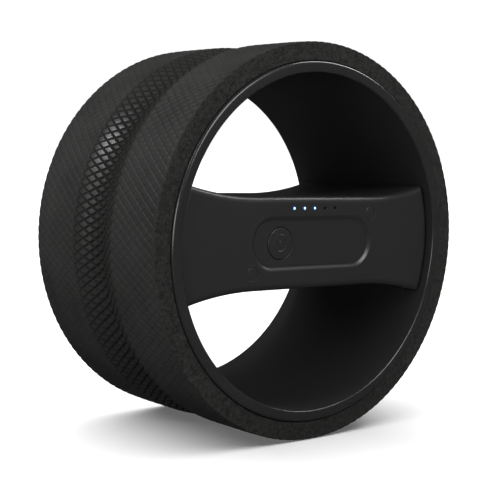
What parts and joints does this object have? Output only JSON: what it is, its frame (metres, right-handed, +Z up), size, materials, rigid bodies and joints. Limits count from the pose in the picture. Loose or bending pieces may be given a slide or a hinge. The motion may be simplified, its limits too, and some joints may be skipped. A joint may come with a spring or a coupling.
{
  "type": "vibrating massage wheel",
  "caption": "Hollow foam-covered massage wheel with a spine groove, and a control pod with a vibration motor bridging its open bore.",
  "frame": {"origin": "centre of the wheel, on its axis, half way between its two faces", "axes": "+Y along the wheel's axis from the control side to the back, +Z up with the pod level, +X to the right seen from the control side"},
  "size_m": [0.255, 0.1364, 0.255],
  "materials": {
    "tread_foam": "matte, diamond knurl",
    "tube_plastic": "satin moulded",
    "cover_plastic": "satin moulded",
    "seal_rubber": "matte",
    "overlay_silicone": "soft-touch matte",
    "button_plastic": "satin",
    "switch_parts": "satin",
    "chip_plastic": "matte",
    "led_lit": "clear, lit",
    "led_unlit": "smoked, unlit",
    "led_chip": "satin",
    "board_laminate": "solder mask",
    "board_parts": "satin",
    "screw_steel": "zinc plated",
    "plug_plastic": "satin moulded",
    "motor_steel": "drawn steel",
    "motor_alloy": "cast",
    "magnet": "sintered",
    "armature_winding": "enamelled winding",
    "shaft_steel": "ground",
    "bearing_bronze": "sintered bronze",
    "weight_brass": "machined",
    "clamp_alloy": "cast",
    "battery_wrap": "shrink wrap",
    "tray_plastic": "moulded",
    "lead_insulation": "insulation",
    "port_steel": "plated"
  },
  "bodies": {
    "wheel": {"tread_cushion": "tread_foam", "core_tube": "tube_plastic", "pod_front_cover": "cover_plastic", "pod_rear_cover": "cover_plastic", "pod_seal": "seal_rubber", "panel_overlay": "overlay_silicone", "tact_switch": "chip_plastic", "led_lenses_lit": "led_lit", "led_lenses_unlit": "led_unlit", "led_chips": "led_chip", "control_board": "board_laminate", "processor_chip": "chip_plastic", "board_parts": "board_parts", "board_screws": "screw_steel", "screw_plugs": "plug_plastic", "cover_screws": "screw_steel", "end_screws": "screw_steel", "motor_can": "motor_steel", "motor_end_caps": "motor_alloy", "motor_magnets": "magnet", "front_bearing": "bearing_bronze", "rear_bearing": "bearing_bronze", "front_motor_clamp": "clamp_alloy", "rear_motor_clamp": "clamp_alloy", "motor_isolators": "seal_rubber", "left_battery_cells": "battery_wrap", "right_battery_cells": "battery_wrap", "left_battery_tray": "tray_plastic", "right_battery_tray": "tray_plastic", "battery_pads": "seal_rubber", "battery_leads": "lead_insulation", "motor_leads": "lead_insulation", "charge_port": "port_steel", "charge_board": "board_laminate", "charge_leads": "lead_insulation"},
    "button": {"power_button": "button_plastic", "switch_plunger": "switch_parts"},
    "rotor": {"armature": "armature_winding", "rotor_shaft": "shaft_steel", "front_weight": "weight_brass", "rear_weight": "weight_brass"}
  },
  "joints": [
    {"name": "button_press", "type": "slide", "parent": "wheel", "child": "button", "axis": [0, 1, 0], "range_m": [0, 0.0008], "stiffness_N_per_m": 1500},
    {"name": "rotor_spin", "type": "hinge", "parent": "wheel", "child": "rotor", "pos_m": [0, 0, 0], "axis": [0, 1, 0], "continuous": true}
  ]
}
